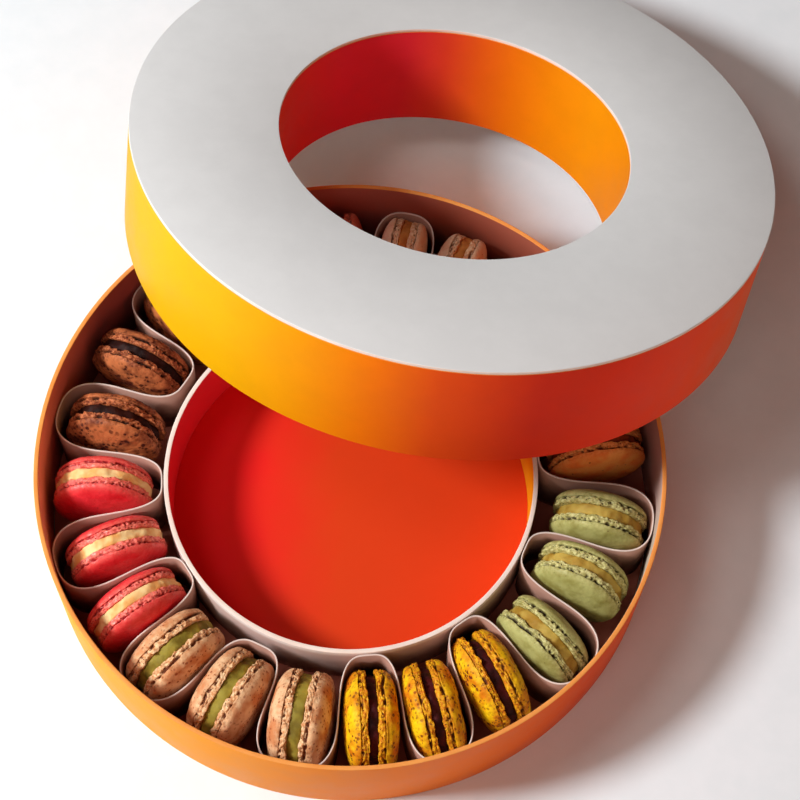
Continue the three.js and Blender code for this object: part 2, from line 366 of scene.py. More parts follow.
def plain_board(name, colour, shade, roughness=0.75):
    """Unprinted board or paper: one colour with soft clouding and a fine tooth."""
    made = paper_finish(name, roughness, (0.05, 0.08), 0.05 * MM)
    material, tree, shader, place, clouding = made
    tint = mix_colours(tree, clouding, srgb(*colour), srgb(*shade))
    tree.links.new(tint, shader.inputs["Base Color"])
    return material


def print_and_shade_board(name, stops, roughness=0.45):
    """Paper whose colours run round the piece, given as shares of the turn: print with painted light
    and shade, or painted light and shade alone.
    """
    made = paper_finish(name, roughness, (0.06, 0.06), 0.02 * MM, PRINT_SHEEN)
    material, tree, shader, place, clouding = made
    round_the_piece = tree.nodes.new("ShaderNodeUVMap")
    round_the_piece.uv_map = "round"
    turn = tree.nodes.new("ShaderNodeSeparateXYZ")
    tree.links.new(round_the_piece.outputs[0], turn.inputs[0])
    ramp = tree.nodes.new("ShaderNodeValToRGB")
    tree.links.new(turn.outputs[0], ramp.inputs[0])
    elements = ramp.color_ramp.elements
    for index, (share, colour) in enumerate(stops):
        # a new ramp already has two stops
        stop = elements[index] if index < 2 else elements.new(share)
        stop.position = share
        stop.color = srgb(*colour)
    ink = tree.nodes.new("ShaderNodeHueSaturation")
    lighter = math_node(tree, "MULTIPLY", clouding, INK_SPREAD)
    tree.links.new(math_node(tree, "ADD", lighter, INK_DARKEST), ink.inputs["Value"])
    tree.links.new(ramp.outputs[0], ink.inputs["Color"])
    tree.links.new(ink.outputs[0], shader.inputs["Base Color"])
    return material


def axis_share(tree, place, axis, low, high):
    """How far a point lies from low to high along X, Y or Z, from 0 to 1."""
    apart = tree.nodes.new("ShaderNodeSeparateXYZ")
    tree.links.new(place, apart.inputs[0])
    return ramp_between(tree, apart.outputs[axis], low, high)


def faded_paper(name, near, far, reach, roughness=0.6):
    """Paper whose print fades from one colour to another across the box, from -X to +X."""
    made = paper_finish(name, roughness, (0.05, 0.08), 0.03 * MM, FADE_SHEEN)
    material, tree, shader, place, clouding = made
    share = axis_share(tree, place, 0, *reach)
    cloud = math_node(tree, "MULTIPLY", clouding, CLOUD_IN_FADE)
    fade = math_node(tree, "ADD", share, cloud, clamp=True)
    tree.links.new(mix_colours(tree, fade, srgb(*near), srgb(*far)), shader.inputs["Base Color"])
    return material


def shaded_card(name, top_tone, side, low, heights):
    """White card with painted shade: white at its cut edge, darker further down, and darkest at its
    foot.
    """
    made = paper_finish(name, 0.7, (0.1, 0.08), 0.04 * MM)
    material, tree, shader, place, clouding = made
    bottom, middle, top = heights
    # painted shade: the card darkens from its cut edge down to its foot
    rising = axis_share(tree, place, 2, bottom, middle)
    cut_edge = axis_share(tree, place, 2, middle, top)
    painted_shade_tone = mix_colours(tree, clouding, srgb(*low), srgb(*side))
    body = mix_colours(tree, rising, painted_shade_tone, srgb(*side))
    tint = mix_colours(tree, cut_edge, body, srgb(*top_tone))
    tree.links.new(tint, shader.inputs["Base Color"])
    return material


print("paper recipes ready")

# %% Colours round the box
SEAM_BEARING = 179.9


def bearings(at_seam, *stops):
    """Stops by bearing, degrees from +X as seen from above, as shares of a turn from -X."""
    closed = [(-SEAM_BEARING, at_seam), *stops, (SEAM_BEARING, at_seam)]
    return [((bearing + 180) / 360, colour) for bearing, colour in closed]


# colours by bearing round the lid's wall, the tray's wall, the hub's inside and the lid's tube:
# print together with painted light and shade, yellower where the window from the left lights a wall
# and redder and darker where it is in shade
LID_PRINT_AND_SHADE = bearings(
    (236, 162, 10),
    (-150, (234, 176, 3)),
    (-130, (231, 169, 2)),
    (-116, (234, 148, 2)),
    (-103, (236, 116, 6)),
    (-92, (224, 78, 20)),
    (-75, (218, 47, 21)),
    (-60, (246, 57, 18)),
    (-45, (252, 72, 18)),
    (-25, (252, 98, 38)),
    (20, (246, 96, 36)),
    (60, (216, 60, 34)),
    (120, (240, 130, 24)),
)
TRAY_PRINT_AND_SHADE = bearings(
    (252, 176, 34),
    (-120, (252, 164, 28)),
    (-80, (248, 132, 28)),
    (-40, (236, 84, 26)),
    (10, (240, 100, 30)),
    (90, (242, 134, 30)),
)
WELL_PRINT_AND_SHADE = bearings(
    (250, 56, 84),
    (-110, (240, 56, 60)),
    (-45, (252, 120, 18)),
    (10, (255, 186, 24)),
    (50, (246, 110, 24)),
    (130, (246, 54, 76)),
)
TUBE_PRINT_AND_SHADE = bearings(
    (252, 74, 40),
    (-60, (244, 110, 16)),
    (0, (230, 136, 4)),
    (32, (232, 142, 2)),
    (52, (231, 132, 3)),
    (68, (228, 112, 10)),
    (80, (226, 92, 22)),
    (92, (222, 64, 38)),
    (106, (230, 44, 58)),
    (130, (250, 37, 64)),
    (155, (252, 50, 52)),
)
# the lining is pale card; its colours round the tray are painted light and shade, pale where the
# window lights the wall and red-brown where the wall is in shade
LINING_LIGHT_AND_SHADE = bearings(
    (255, 158, 134),
    (-165, (255, 184, 160)),
    (-140, (250, 164, 120)),
    (-60, (220, 190, 170)),
    (-15, (200, 188, 168)),
    (5, (194, 152, 146)),
    (40, (178, 104, 84)),
    (75, (166, 88, 68)),
    (95, (204, 132, 122)),
    (125, (168, 84, 74)),
    (150, (152, 76, 70)),
    (168, (206, 112, 96)),
)
print("stops of the lid's print:", len(LID_PRINT_AND_SHADE))

# %% Board finishes
# where the print in the well fades, and heights and tones of the painted shade on the white card of
# strip and hub
FADE_REACH = (-62 * MM, 6 * MM)
STRIP_HEIGHTS = (10 * MM, 34.2 * MM, 34.95 * MM)
STRIP_TONES = ((226, 206, 196), (174, 130, 114), (76, 36, 26))
HUB_HEIGHTS = (4 * MM, 30 * MM, 34.6 * MM)
HUB_TONES = ((255, 244, 238), (216, 188, 178), (140, 96, 84))

# the colours round these walls are print and painted light and shade
lid_print_and_shade = print_and_shade_board("lid_print_and_shade", LID_PRINT_AND_SHADE)
tray_print_and_shade = print_and_shade_board("tray_print_and_shade", TRAY_PRINT_AND_SHADE)
well_print_and_shade = print_and_shade_board("well_print_and_shade", WELL_PRINT_AND_SHADE, 0.55)
tube_print_and_shade = print_and_shade_board("tube_print_and_shade", TUBE_PRINT_AND_SHADE, 0.5)
# the lining's colours are painted light and shade on pale card
lining = print_and_shade_board("lining", LINING_LIGHT_AND_SHADE, 0.7)
orange_edge = plain_board("orange_edge", (244, 160, 78), (236, 146, 66))
white_card = plain_board("white_card", (250, 238, 230), (244, 230, 220))
lid_grey = plain_board("lid_grey", (232, 230, 229), (228, 226, 225), 0.7)
cream_edge = plain_board("cream_edge", (246, 228, 216), (238, 216, 202))
tray_floor = plain_board("tray_floor", (212, 124, 104), (196, 110, 90), 0.8)
well_floor = faded_paper("well_floor", (236, 15, 26), (218, 60, 14), FADE_REACH)
# painted shade on the strip and on the hub's outside
strip_card = shaded_card("strip_card", *STRIP_TONES, STRIP_HEIGHTS)
hub_card = shaded_card("hub_card", *HUB_TONES, HUB_HEIGHTS)
print("finishes so far:", [material.name for material in bpy.data.materials])

# %% [markdown]
# ## Board pieces
# Every board piece is round. A tube or a cylinder could be its start, but an outline that is
# drawn beside the axis and spun once round gives rings, discs and later the shells by one
# function. Sharp edges are bevelled as a cut and wrapped edge is, and more sides than the solid
# has make the rims smooth. The faces of a ring are sorted by where they point into print, cut
# edge and lining.

# %% Turned shapes
WALL_STEPS = 240
MERGE = 0.001 * MM
SHARP = math.radians(20)


def turned(outline, steps):
    """A mesh of an open or closed outline of (radius, height), spun once about the axis."""
    bm = bmesh.new()
    points = [bm.verts.new((radius, 0, height)) for radius, height in outline]
    edges = [bm.edges.new(pair) for pair in zip(points, points[1:])]
    if outline[0][0] > 0:
        edges.append(bm.edges.new((points[-1], points[0])))
    bmesh.ops.spin(
        bm,
        geom=points + edges,
        cent=(0, 0, 0),
        axis=(0, 0, 1),
        dvec=(0, 0, 0),
        angle=math.tau,
        steps=steps,
        use_merge=True,
    )
    bmesh.ops.remove_doubles(bm, verts=bm.verts, dist=MERGE)
    bmesh.ops.recalc_face_normals(bm, faces=bm.faces)
    return bm


def sharpen(bm):
    """Marks the edges that turn further than a small angle as sharp."""
    for edge in bm.edges:
        edge.smooth = edge.is_manifold and edge.calc_face_angle(0) < SHARP


def make_object(name, bm, materials):
    """A finished, smooth-shaded object at the origin, with its place in its mesh."""
    for face in bm.faces:
        face.smooth = True
    mesh = bpy.data.meshes.new(name)
    bm.to_mesh(mesh)
    bm.free()
    for material in materials:
        mesh.materials.append(material)
    piece = bpy.data.objects.new(name, mesh)
    scene.collection.objects.link(piece)
    return piece


def dress(piece, node):
    """Puts a piece on the one body, in place of a solid."""
    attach(piece, "root")
    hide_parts(node)
    print(piece.name, "faces", len(piece.data.polygons))


print("steps round a wall:", WALL_STEPS)

# %% A ring of board
UV_HEIGHT = 60 * MM
CORNER_RADIANS = 1
EDGE_SLOPE = 0.3
OUTWARD, CUT_EDGE, INWARD = 0, 1, 2


def unroll(bm, turn):
    """A UV map whose first coordinate is the share of the turn round the axis, from a bearing."""
    layer = bm.loops.layers.uv.new("round")
    for face in bm.faces:
        middle = face.calc_center_median()
        own = math.atan2(middle.y, middle.x)
        for loop in face.loops:
            place = loop.vert.co
            step = math.atan2(place.y, place.x) - own
            step = (step + math.pi) % math.tau - math.pi
            share = ((own + turn + math.pi) % math.tau + step) / math.tau
            loop[layer].uv = (min(max(share, 0.0), 1.0), place.z / UV_HEIGHT)


def sort_faces(bm):
    """Sets each face's material by where it points: away from the axis, up or down, or inward."""
    for face in bm.faces:
        middle = face.calc_center_median()
        away = face.normal.dot(Vector((middle.x, middle.y, 0)).normalized())
        if abs(face.normal.z) > EDGE_SLOPE:
            face.material_index = CUT_EDGE
        else:
            face.material_index = OUTWARD if away > 0 else INWARD


def board_ring(node, sizes, bevel, finishes, stand=Matrix(), turn=0.0):
    """A ring of board with rounded edges, dressed and put where its solid stands."""
    inner, outer, low, high = sizes
    bm = turned([(inner, low), (outer, low), (outer, high), (inner, high)], WALL_STEPS)
    corners = [edge for edge in bm.edges if edge.calc_face_angle(0) > CORNER_RADIANS]
    bmesh.ops.bevel(
        bm,
        geom=corners,
        offset=bevel * MM,
        offset_type="OFFSET",
        affect="EDGES",
        segments=3,
        profile=0.5,
        material=-1,
    )
    unroll(bm, turn)
    sort_faces(bm)
    sharpen(bm)
    bmesh.ops.transform(bm, matrix=stand, verts=bm.verts)
    dress(make_object(node + "_board", bm, finishes), node)


print("finishes of a ring: outward", OUTWARD, "cut edge", CUT_EDGE, "inward", INWARD)

# %% The tray: wall, hub tube and the card in the well
wall_sizes = (TRAY_INSIDE, TRAY_RADIUS, 0, TRAY_HEIGHT)
board_ring("tray_wall", wall_sizes, 0.5, [tray_print_and_shade, orange_edge, lining])

tube_sizes = (HUB_BORE_RADIUS, HUB_RADIUS, FLOOR, HUB_TOP)
board_ring("hub_tube", tube_sizes, 0.3, [hub_card, cream_edge, well_print_and_shade])

card_top = FLOOR + WELL_CARD
card_edge = HUB_BORE_RADIUS - WELL_CARD_GAP
bm = turned([(0, FLOOR), (card_edge, FLOOR), (card_edge, card_top), (0, card_top)], WALL_STEPS)
sharpen(bm)
dress(make_object("well_card_paper", bm, [well_floor]), "well_card")

# %% The tray's bottom keeps its solid
tray_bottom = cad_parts["tray_bottom"]
tray_bottom.data.materials.clear()
tray_bottom.data.materials.append(tray_floor)
print("tray bottom:", tray_bottom.name)

# %% [markdown]
# ## The leaning lid
# The lid is drawn upright and then put in its place by one matrix: tipped back, moved out until
# its tube lies on the tray's rim, and turned to its bearing. Its objects could be turned instead,
# but a finished piece keeps its place in its mesh. The solids follow the same rule, so both
# agree.

# %% The lid's place
lid_centre_height = FIT_GAP + LID_RADIUS * math.sin(LID_TILT)
rim_height = TRAY_HEIGHT + FIT_GAP
lid_along = (lid_centre_height - rim_height) / math.tan(LID_TILT)
down_tube = lid_along / math.cos(LID_TILT)
aside = math.sqrt(LID_HOLE_RADIUS**2 - down_tube**2)
lid_distance = math.sqrt(TRAY_RADIUS**2 - aside**2) - lid_along
lid_place = (
    Matrix.Rotation(LID_BEARING, 4, "Z")
    @ Matrix.Translation((lid_distance, 0, lid_centre_height))
    @ Matrix.Rotation(LID_TILT, 4, "Y")
)
print("lid centre:", [round(value / MM, 1) for value in lid_place.translation])

# %% The lid: top board, wall and tube
GLUE_LINE = 0.02 * MM

wall_top = LID_HEIGHT - LID_TOP_BOARD
tube_top = wall_top - GLUE_LINE
top_sizes = (LID_HOLE_RADIUS, LID_RADIUS, wall_top, LID_HEIGHT)
wall_sizes = (LID_RADIUS - BOARD, LID_RADIUS, 0, tube_top)
tube_sizes = (LID_HOLE_RADIUS, LID_HOLE_RADIUS + BOARD, 0, tube_top)
for node, sizes, bevel, finishes, slot in (
    ("lid_top", top_sizes, 0.35, [cream_edge, lid_grey, cream_edge], "grey_card"),
    ("lid_wall", wall_sizes, 0.4, [lid_print_and_shade, orange_edge, white_card], "orange_board"),
    ("lid_tube", tube_sizes, 0.4, [white_card, orange_edge, tube_print_and_shade], "orange_board"),
):
    board_ring(node, sizes, bevel, finishes, lid_place, LID_BEARING)

# %% [markdown]
# ## How the macarons stand
# Twenty-four macarons stand on edge round the ring, three of each flavour. Each one is turned,
# leaned and set a little differently. The solids were placed by this same list, so the fine
# macarons go through the same turns and come to stand where their solids stand.

# %% Flavours, stances and the sizes of each macaron
MACARON_COUNT = 24
MACARON_RADIUS = 21.6 * MM
SHELL_DOME = 6.1 * MM
FOOT_HEIGHT = 3.3 * MM
FILLING_THICKNESS = 4.6 * MM
FIRST_BEARING = 141.2
PITCH = 360 / MACARON_COUNT
RANDOM_STEP = 16807
RANDOM_RANGE = 2**31 - 1

# girth, thickness of the filling and height of the dome, against the plain macaron
FLAVOURS = {
    "cocoa": (0.99, 1.0, 1.0),
    "rose": (0.99, 1.0, 1.0),
    "praline": (1.0, 1.2, 1.22),
    "saffron": (1.0, 0.95, 1.06),
    "pistachio": (0.96, 1.1, 1.05),
    "apricot": (0.99, 0.9, 1.0),
    "almond": (1.06, 0.95, 1.0),
    "berry": (1.03, 0.9, 0.96),
}
FLAVOUR_NAMES = list(FLAVOURS)

# a row for each flavour: degrees turned about the upright, degrees leaning along the ring,
# millimetres out from the middle of the channel, and degrees along the ring from the even place
STANCES = [
    (3, 0, 2, -4.7), (7, -4, 3.2, -3.8), (2, 4, 0.2, -1.5),
    (-4, 4, 1.2, -0.6), (4, -4, -0.8, -0.3), (2, -3, 1.1, -0.3),
    (-4, -3, 1.4, -0.9), (-5, 0, 3, -0.2), (1, 3, 2.2, 1.2),
    (-2, -2, 0.7, 1.5), (-5, 3, 2, 0.5), (-6, 4, 0.4, 0.3),
    (-4, 5, 1.6, 0.6), (-1, -3, 1.2, 2.2), (-4, 5, 2.3, 2.1),
    (1, 4, 2, 4.6), (1, 0, 0.5, 3.3), (-1, 1, 0.7, 2),
    (-1, 1, 1, 1.1), (5, 0, 1.7, 1.3), (0, 1, 1.1, 0.2),
    (1, -4, 2.7, -1), (0, 0, 1.3, -2.2), (1, 0, 1.7, -3.7),
]


def seeded_random(seed):
    """Repeatable random numbers from 0 to 1."""
    state = seed
    while True:
        state = state * RANDOM_STEP % RANDOM_RANGE
        yield state / RANDOM_RANGE


def flavour_of(place):
    """The flavour of the macaron at a place round the ring, counted from 0."""
    return FLAVOUR_NAMES[place * len(FLAVOUR_NAMES) // MACARON_COUNT]


def half_thickness(place):
    """From a macaron's middle to the top of a dome, along its own axis."""
    filling, dome = FLAVOURS[flavour_of(place)][1:]
    return FILLING_THICKNESS * filling / 2 + FOOT_HEIGHT + SHELL_DOME * dome


print("order:", [flavour_of(place) for place in range(0, MACARON_COUNT, 3)])

# %% [markdown]
# ## The card strip
# One white strip winds round the hub side of every second macaron and round the wall side of the
# others. A curve with a height could make it, but Solidify keeps the card equally thick in tight
# bends, so the middle line is drawn on the floor, pulled up and thickened by that modifier. Each
# loop is half a superellipse.

# %% The strip's middle line
STRIP_TOP = 35 * MM
STRIP_END_GAP = 0.5 * MM
STRIP_STEPS = 40
# by the side of a loop: 1 towards the wall, -1 towards the hub
LOOP_SQUARENESS = {1: 2.7, -1: 3.3}

# degrees by which the strip lies nearer to the next macaron, by the number of the one before
CROSSING_SHIFTS = {
    1: 0.6, 2: 0.2, 4: 0.1, 5: 0.5, 6: 0.1, 8: 0.1, 10: 0.15, 11: -0.2,
    12: 0.1, 15: -1.2, 16: 0.15, 17: -0.1, 20: -0.1, 21: -0.1, 23: -0.1,
}
# how far a loop stays short of the hub tube, by its macaron's number
LOOP_SHORTFALLS = {2: 3.5 * MM, 8: 4 * MM}


def crossing_after(place):
    """Bearing and turn of the line on which the strip crosses between two macarons."""
    here = STANCES[place % MACARON_COUNT]
    after = STANCES[(place + 1) % MACARON_COUNT]
    thicker = half_thickness(place % MACARON_COUNT) - half_thickness((place + 1) % MACARON_COUNT)
    even = FIRST_BEARING + PITCH * (place + 0.5) + (here[3] + after[3]) / 2
    even += CROSSING_SHIFTS.get(place % MACARON_COUNT + 1, 0)
    bearing = math.radians(even) + thicker / 2 / CHANNEL_MIDDLE
    return bearing, math.radians((here[0] + after[0]) / 2)


def bearing_on(crossing, out):
    """Bearing of a crossing line at a distance out from the middle of the channel."""
    bearing, turn = crossing
    return bearing + math.atan2(out * math.sin(turn), CHANNEL_MIDDLE + out * math.cos(turn))


def strip_path():
    """The points of the closed middle line, on the tray's floor."""
    full_reach = CHANNEL_MIDDLE - HUB_RADIUS - STRIP_END_GAP - CARD / 2
    points = []
    for place in range(MACARON_COUNT):
        side = 1 if place % 2 == 0 else -1
        reach = full_reach - LOOP_SHORTFALLS.get(place + 1, 0)
        power = 2 / LOOP_SQUARENESS[side]
        start, end = crossing_after(place - 1), crossing_after(place)
        for step in range(STRIP_STEPS):
            angle = math.pi * (step / STRIP_STEPS - 0.5)
            across = math.copysign(abs(math.sin(angle)) ** power, angle)
            out = side * reach * max(math.cos(angle), 0) ** power
            share = (1 + across) / 2
            bearing = bearing_on(start, out) * (1 - share) + bearing_on(end, out) * share
            radius = CHANNEL_MIDDLE + out
            points.append((radius * math.cos(bearing), radius * math.sin(bearing), FLOOR))
    return points


bm = bmesh.new()
corners = [bm.verts.new(point) for point in strip_path()]
line = [bm.edges.new(pair) for pair in zip(corners, corners[1:] + corners[:1])]
raised = bmesh.ops.extrude_edge_only(bm, edges=line)["geom"]
top_corners = [item for item in raised if isinstance(item, bmesh.types.BMVert)]
bmesh.ops.translate(bm, verts=top_corners, vec=(0, 0, STRIP_TOP - FLOOR))
bmesh.ops.recalc_face_normals(bm, faces=bm.faces)
strip = make_object("card_strip_band", bm, [strip_card])
thickness = strip.modifiers.new("card", "SOLIDIFY")
thickness.thickness = CARD
thickness.offset = 0
thickness.use_even_offset = True
dress(strip, "card_strip")

# %% [markdown]
# ## Finishes of the macarons
# A shell is dyed almond crumb: two close tones, flecks of ground nut or spice that gather in its
# darker patches, and a paler foot that opened into pits as it rose. Pores, pits, cracks and the
# seam's groove get painted shade, a darker colour where shade falls in them, and the foot's paler
# colour reaches onto the dome along the seam as a painted highlight. Each flavour could be painted,
# but one recipe makes all eight from a row of colours. The foot with that highlight, and the painted
# shade, come with the mesh as two point attributes, so colour follows shape.

# %% Shell and filling finishes
SHELL_CRUMB = {"Scale": 620.0}
PASTE_CRUMB = {"Scale": 420.0}
FOOT_PORES = {"Scale": 820.0, "Size": 0.42, "Share": 0.6}
DARK_PATCHES = (-0.35, 0.6)
SHELL_BUMP = 0.3 * MM
PASTE_BUMP = 0.5 * MM
PASTE_SHEEN = 0.15
PORE_DEPTH = 1.4
FLECK_DEPTH = 0.35


def point_value(tree, name):
    """A float attribute of the mesh's points."""
    node = tree.nodes.new("ShaderNodeAttribute")
    node.attribute_name = name
    return node.outputs["Fac"]


def shell_finish(name, roughness, sheen, flecks, colours):
    """Baked shell: skin in two tones with flecks, a porous foot with painted shade in its pores, and
    painted shade in the pits between them.
    """
    scale, size, amount = flecks
    skin, deep, fleck, foot, foot_deep, pore, pit = (srgb(*colour) for colour in colours)
    material, tree, shader, place = new_finish(name, roughness, sheen)
    baked = placed_group(tree, crumb, place, **SHELL_CRUMB)
    dots = placed_group(tree, specks, place, Scale=scale, Size=size, Share=amount)
    holes = placed_group(tree, specks, place, **FOOT_PORES)
    # foot attribute: the foot, and a painted highlight where its colour reaches onto the dome
    foot_and_highlight = point_value(tree, "foot")
    # pit attribute: painted shade in pits, cracks, pores and the seam's groove
    pit_shade = point_value(tree, "pit")
    skin_tone = mix_colours(tree, baked.outputs["Tone"], skin, deep)
    in_dark_patches = ramp_between(tree, baked.outputs["Tone"], *DARK_PATCHES)
    clustered = math_node(tree, "MULTIPLY", dots.outputs["Mask"], in_dark_patches)
    flecked = mix_colours(tree, clustered, skin_tone, fleck)
    foot_tone = mix_colours(tree, baked.outputs["Grain"], foot, foot_deep)
    open_pores = math_node(tree, "MULTIPLY", holes.outputs["Mask"], foot_and_highlight)
    # the pore colour is painted shade in the holes of the foot
    foot_with_pore_shade = mix_colours(tree, open_pores, foot_tone, pore)
    whole = mix_colours(tree, foot_and_highlight, flecked, foot_with_pore_shade)
    # the pit colour is painted shade
    tree.links.new(mix_colours(tree, pit_shade, whole, pit), shader.inputs["Base Color"])
    roughness_from(tree, shader, baked.outputs["Grain"], roughness - 0.1, roughness + 0.15)
    sunk = math_node(tree, "MULTIPLY", open_pores, PORE_DEPTH)
    dotted = math_node(tree, "MULTIPLY", clustered, FLECK_DEPTH)
    crust_height = math_node(tree, "SUBTRACT", baked.outputs["Height"], sunk)
    crust_height = math_node(tree, "SUBTRACT", crust_height, dotted)
    bump_from(tree, shader, crust_height, SHELL_BUMP, 0.9)
    return material


def filling_finish(name, cream, deep, roughness):
    """Filling: smooth cream or paste in two tones, a little moist."""
    material, tree, shader, place = new_finish(name, roughness, PASTE_SHEEN)
    paste = placed_group(tree, crumb, place, **PASTE_CRUMB)
    tint = mix_colours(tree, paste.outputs["Tone"], srgb(*cream), srgb(*deep))
    tree.links.new(tint, shader.inputs["Base Color"])
    roughness_from(tree, shader, paste.outputs["Grain"], roughness - 0.06, roughness + 0.12)
    bump_from(tree, shader, paste.outputs["Height"], PASTE_BUMP)
    return material


print("crumb scale of a shell:", SHELL_CRUMB["Scale"], "of a filling:", PASTE_CRUMB["Scale"])

# %% Colours of the eight flavours
# roughness and sheen; scale, size and share of flecks; then skin, deeper skin and fleck of the dome,
# and foot, deeper foot, and the painted shade of a pore and of a pit
SHELLS = {
    "cocoa": (0.58, 0.2, (540, 0.72, 0.95), [
        (202, 116, 68), (94, 36, 20), (66, 20, 12),
        (204, 118, 72), (120, 52, 28), (66, 22, 12), (30, 8, 6),
    ]),
    "rose": (0.38, 0.42, (620, 0.3, 0.2), [
        (240, 50, 60), (222, 22, 38), (188, 16, 32),
        (255, 142, 122), (240, 96, 84), (198, 40, 44), (160, 18, 34),
    ]),
    "praline": (0.6, 0.25, (700, 0.55, 0.85), [
        (242, 198, 152), (208, 130, 80), (164, 80, 44),
        (252, 212, 164), (222, 152, 98), (146, 70, 38), (112, 50, 26),
    ]),
    "saffron": (0.58, 0.25, (600, 0.7, 0.9), [
        (252, 206, 12), (216, 120, 8), (108, 32, 12),
        (246, 184, 24), (212, 118, 16), (126, 50, 12), (76, 22, 8),
    ]),
    "pistachio": (0.56, 0.3, (620, 0.3, 0.2), [
        (182, 180, 110), (148, 142, 72), (112, 98, 42),
        (220, 212, 146), (168, 158, 88), (84, 64, 24), (44, 24, 10),
    ]),
    "apricot": (0.6, 0.25, (620, 0.36, 0.4), [
        (255, 168, 82), (250, 132, 56), (160, 74, 30),
        (254, 178, 100), (230, 126, 60), (130, 56, 24), (92, 34, 12),
    ]),
    "almond": (0.6, 0.25, (620, 0.32, 0.3), [
        (255, 226, 196), (248, 200, 162), (200, 128, 86),
        (255, 222, 184), (238, 178, 130), (160, 92, 52), (118, 58, 32),
    ]),
    "berry": (0.58, 0.25, (620, 0.34, 0.3), [
        (244, 140, 112), (222, 100, 82), (140, 38, 36),
        (248, 154, 120), (214, 104, 80), (134, 48, 34), (92, 24, 22),
    ]),
}
# cream, deeper cream, roughness
FILLINGS = {
    "cocoa": ((48, 15, 8), (26, 7, 5), 0.6),
    "rose": ((252, 220, 158), (238, 172, 98), 0.75),
    "praline": ((158, 140, 54), (116, 98, 32), 0.6),
    "saffron": ((72, 18, 20), (38, 10, 12), 0.5),
    "pistachio": ((194, 164, 78), (164, 124, 44), 0.55),
    "apricot": ((150, 66, 28), (100, 40, 18), 0.6),
    "almond": ((220, 146, 76), (190, 110, 50), 0.6),
    "berry": ((150, 40, 32), (100, 20, 22), 0.6),
}
shell_finishes = {}
filling_finishes = {}
for name, row in SHELLS.items():
    shell_finishes[name] = shell_finish(name + "_shell", *row)
for name, row in FILLINGS.items():
    filling_finishes[name] = filling_finish(name + "_filling", *row)
print("shell finishes:", len(shell_finishes), "filling finishes:", len(filling_finishes))

# %% [markdown]
# ## Fine macarons
# A shell is a smooth dome above a ragged foot. Sculpting twenty-four pairs would take long, so an
# outline is spun round, and then every point is pushed by seeded noise: gentle swells on the
# dome, bubbles and cracks on the foot, and deep pits at the seam, where the skin tore from the
# foot.

# %% Outline of a shell
SHELL_STEPS = 260
DOME_STEPS = 18
FOOT_STEPS = 12
CRUMB_HEIGHT = 0.86 * FOOT_HEIGHT
RIM_WIDTH = 2.2 * MM
FOOT_BACK = 0.45 * MM
FOOT_ROLL = 0.4 * MM

# how far back from the rim and how high above the seam the skin starts, in millimetres
SKIN_EDGE = ((0.35, 0), (0.25, 0.12), (0.12, 0.26), (0.04, 0.42), (0.01, 0.6))


def shell_outline(size, half, dome, squareness):
    """Radius and height from the middle of the flat underside to the top of the dome."""
    seam = half + CRUMB_HEIGHT
    rise = dome + FOOT_HEIGHT - CRUMB_HEIGHT
    flat = (0, size * 0.6, size - RIM_WIDTH, size - 2 * FOOT_BACK)
    outline = [(radius, half) for radius in flat]
    for step in range(FOOT_STEPS):
        share = (step + 0.5) / FOOT_STEPS
        roll = math.sin(math.pi * (0.1 + 0.8 * share)) ** 0.5
        outline.append((size - FOOT_BACK + FOOT_ROLL * roll, half + CRUMB_HEIGHT * share))
    for back, up in SKIN_EDGE:
        outline.append((size - back * MM, seam + up * MM))
    for step in range(2, DOME_STEPS + 1):
        angle = math.pi / 2 * step / DOME_STEPS
        radius = size * max(math.cos(angle), 0) ** (2 / squareness)
        height = rise * math.sin(angle) ** (2 / squareness)
        outline.append((radius if step < DOME_STEPS else 0, seam + height))
    return outline


print("foot of a shell:", round(CRUMB_HEIGHT / MM, 2), "mm high")

# %% [markdown]
# ## Noise of the crust
# A real foot is ragged crumb with holes. A Displace modifier could roughen it, but noise that is
# worked out point by point lets every effect keep to its own heights. A height is a share here: 0
# at the filling, 1 at the seam, more on the dome. Spots are in millimetres, and the number that
# multiplies a spot says how fine the noise is.

# %% Noise of the crust
PIT_BAND = (0.52, 0.76, 1.04, 1.2)
TEAR_OFFSET = Vector((7, 3, 5))
OPENED_OFFSET = Vector((4, 1, 8))
BROKEN_OFFSET = Vector((2, 9, 4))


def step_up(value, low, high):
    """0 below low, 1 above high, smooth between."""
    share = min(max((value - low) / (high - low), 0), 1)
    return share * share * (3 - 2 * share)


def band(share, low, low_end, high, high_end):
    """1 inside a band of shares and 0 outside it, smooth at both ends."""
    return step_up(share, low, low_end) * (1 - step_up(share, high, high_end))


def foot_relief(spot, bubble):
    """How far the foot stands out at a spot, in metres, and how open its crumb is there."""
    lump = noise.noise(spot * 0.33)
    grit = noise.noise(spot)
    fine = noise.noise(spot * 2.1)
    cell = noise.voronoi(spot * 0.7)[0][0]
    pore = (1 - step_up(cell, 0.12, 0.36)) * step_up(lump + 0.3 * grit, -0.25, 0.15)
    return bubble * (0.75 * lump + 0.8 * grit + 0.35 * fine - 0.5 * pore), pore


def torn_seam(spot, share, ragged, pit_pace):
    """How deep a spot lies in a pit of the seam, and in the seam's own groove."""
    tear = noise.noise(spot * pit_pace + TEAR_OFFSET)
    opened = noise.noise(spot * 0.17 + OPENED_OFFSET)
    pit = step_up(tear + 0.2 * ragged + 0.35 * opened, 0.02, 0.2) * band(share, *PIT_BAND)
    line = 0.97 + 0.12 * ragged
    return pit, band(share, line - 0.08, line, line + 0.05, line + 0.18)


